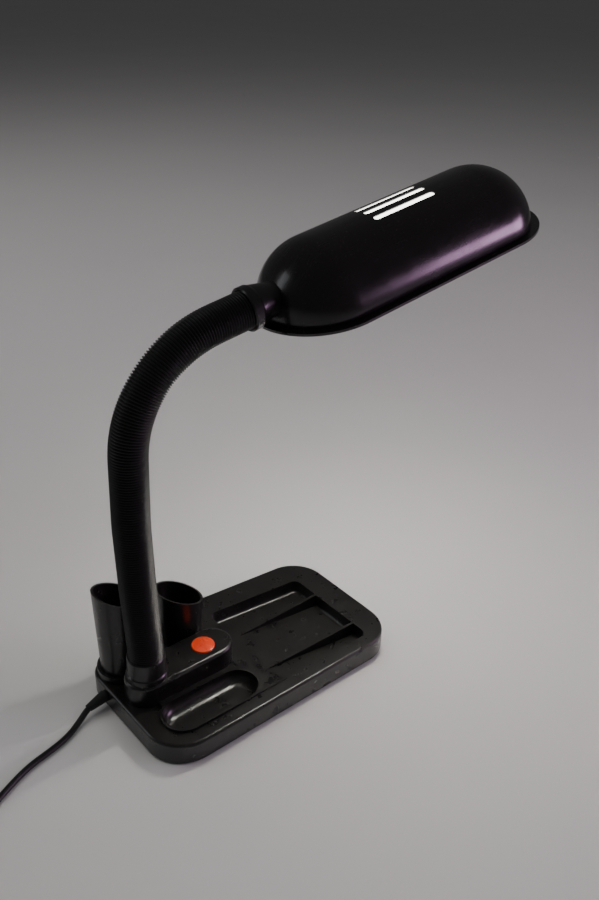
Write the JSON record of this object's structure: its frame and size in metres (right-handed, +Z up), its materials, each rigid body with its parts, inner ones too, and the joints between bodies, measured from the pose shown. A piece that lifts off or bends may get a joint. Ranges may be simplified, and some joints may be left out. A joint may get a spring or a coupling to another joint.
{
  "type": "gooseneck desk lamp",
  "caption": "Desk lamp with a long domed shade on a ribbed flexible neck, standing on an organiser base with cups, trough, tray and push button.",
  "frame": {"origin": "on the table under the centre of the base", "axes": "+X along the base towards the tray, +Y towards the back, +Z up"},
  "size_m": [0.5986, 0.1535, 0.396],
  "materials": {
    "black_plastic": "satin moulded ABS, a little dusty",
    "shade_plastic": "polished moulded ABS",
    "sleeve": "ribbed PVC with a soft sheen",
    "steel": "zinc-plated",
    "ballast": "lacquered laminations",
    "iron": "as cast",
    "plate": "fine texture",
    "rubber": "matt",
    "cord": "smooth PVC",
    "button": "glossy",
    "reflector": "white enamel inside",
    "lamp": "phosphor-coated tube",
    "white_plastic": "heat-resistant",
    "brass": "bright",
    "lead": "insulated wire"
  },
  "bodies": {
    "base": {"base_shell": "black_plastic", "bottom_plate": "plate", "rubber_feet": "rubber", "base_screws": "steel", "counterweight": "iron", "counterweight_screws": "steel", "cup_screws": "steel", "choke_screws": "steel", "ballast_choke": "ballast", "terminal_block": "white_plastic", "switch_body": "white_plastic", "pen_cup_left": "black_plastic", "pen_cup_right": "black_plastic", "cord_grip": "rubber", "mains_cord": "cord", "cord_coil": "cord", "mains_plug": "cord", "plug_pins": "brass", "lower_collar": "black_plastic", "neck_washer": "steel", "neck_nut": "steel", "neck_core_0": "steel", "neck_sleeve_0": "sleeve", "neck_lead_0": "lead"},
    "button": {"switch_button": "button"},
    "neck_1": {"neck_core_1": "steel", "neck_sleeve_1": "sleeve", "neck_lead_1": "lead"},
    "neck_2": {"neck_core_2": "steel", "neck_sleeve_2": "sleeve", "neck_lead_2": "lead"},
    "neck_3": {"neck_core_3": "steel", "neck_sleeve_3": "sleeve", "neck_lead_3": "lead"},
    "neck_4": {"neck_core_4": "steel", "neck_sleeve_4": "sleeve", "neck_lead_4": "lead"},
    "neck_5": {"neck_core_5": "steel", "neck_sleeve_5": "sleeve", "neck_lead_5": "lead"},
    "head": {"neck_core_6": "steel", "neck_sleeve_6": "sleeve", "neck_lead_6": "lead", "upper_collar": "black_plastic", "head_nut": "steel", "lamp_shade": "shade_plastic", "reflector": "reflector", "reflector_screws": "steel", "holder_bracket": "steel", "holder_screws": "steel", "lamp_holder": "white_plastic", "lamp_cap": "white_plastic", "lamp_pins": "brass", "lamp_tube": "lamp", "tube_clip": "steel"}
  },
  "joints": [
    {"name": "neck_bend_1", "type": "hinge", "parent": "base", "child": "neck_1", "pos_m": [-0.0953, -0.00007, 0.072], "axis": [0.0454, 0.999, 0], "range_deg": [-12, 8]},
    {"name": "neck_sway_2", "type": "hinge", "parent": "neck_1", "child": "neck_2", "pos_m": [-0.0978, 0.00005, 0.122], "axis": [0.9986, -0.0453, 0.0262], "range_deg": [-14, 14]},
    {"name": "neck_bend_3", "type": "hinge", "parent": "neck_2", "child": "neck_3", "pos_m": [-0.0993, 0.00011, 0.18], "axis": [0.0454, 0.999, 0], "range_deg": [-15, 10]},
    {"name": "neck_sway_4", "type": "hinge", "parent": "neck_3", "child": "neck_4", "pos_m": [-0.0978, 0.00005, 0.236], "axis": [0.9984, -0.0453, -0.0349], "range_deg": [-16, 16]},
    {"name": "neck_bend_5", "type": "hinge", "parent": "neck_4", "child": "neck_5", "pos_m": [-0.07727, -0.00089, 0.28885], "axis": [0.0454, 0.999, 0], "range_deg": [-20, 14]},
    {"name": "neck_bend_6", "type": "hinge", "parent": "neck_5", "child": "head", "pos_m": [-0.02833, -0.00311, 0.31742], "axis": [0.0454, 0.999, 0], "range_deg": [-20, 18]},
    {"name": "button_press", "type": "slide", "parent": "base", "child": "button", "axis": [0, 0, -1], "range_m": [0, 0.0025], "stiffness_N_per_m": 400}
  ]
}
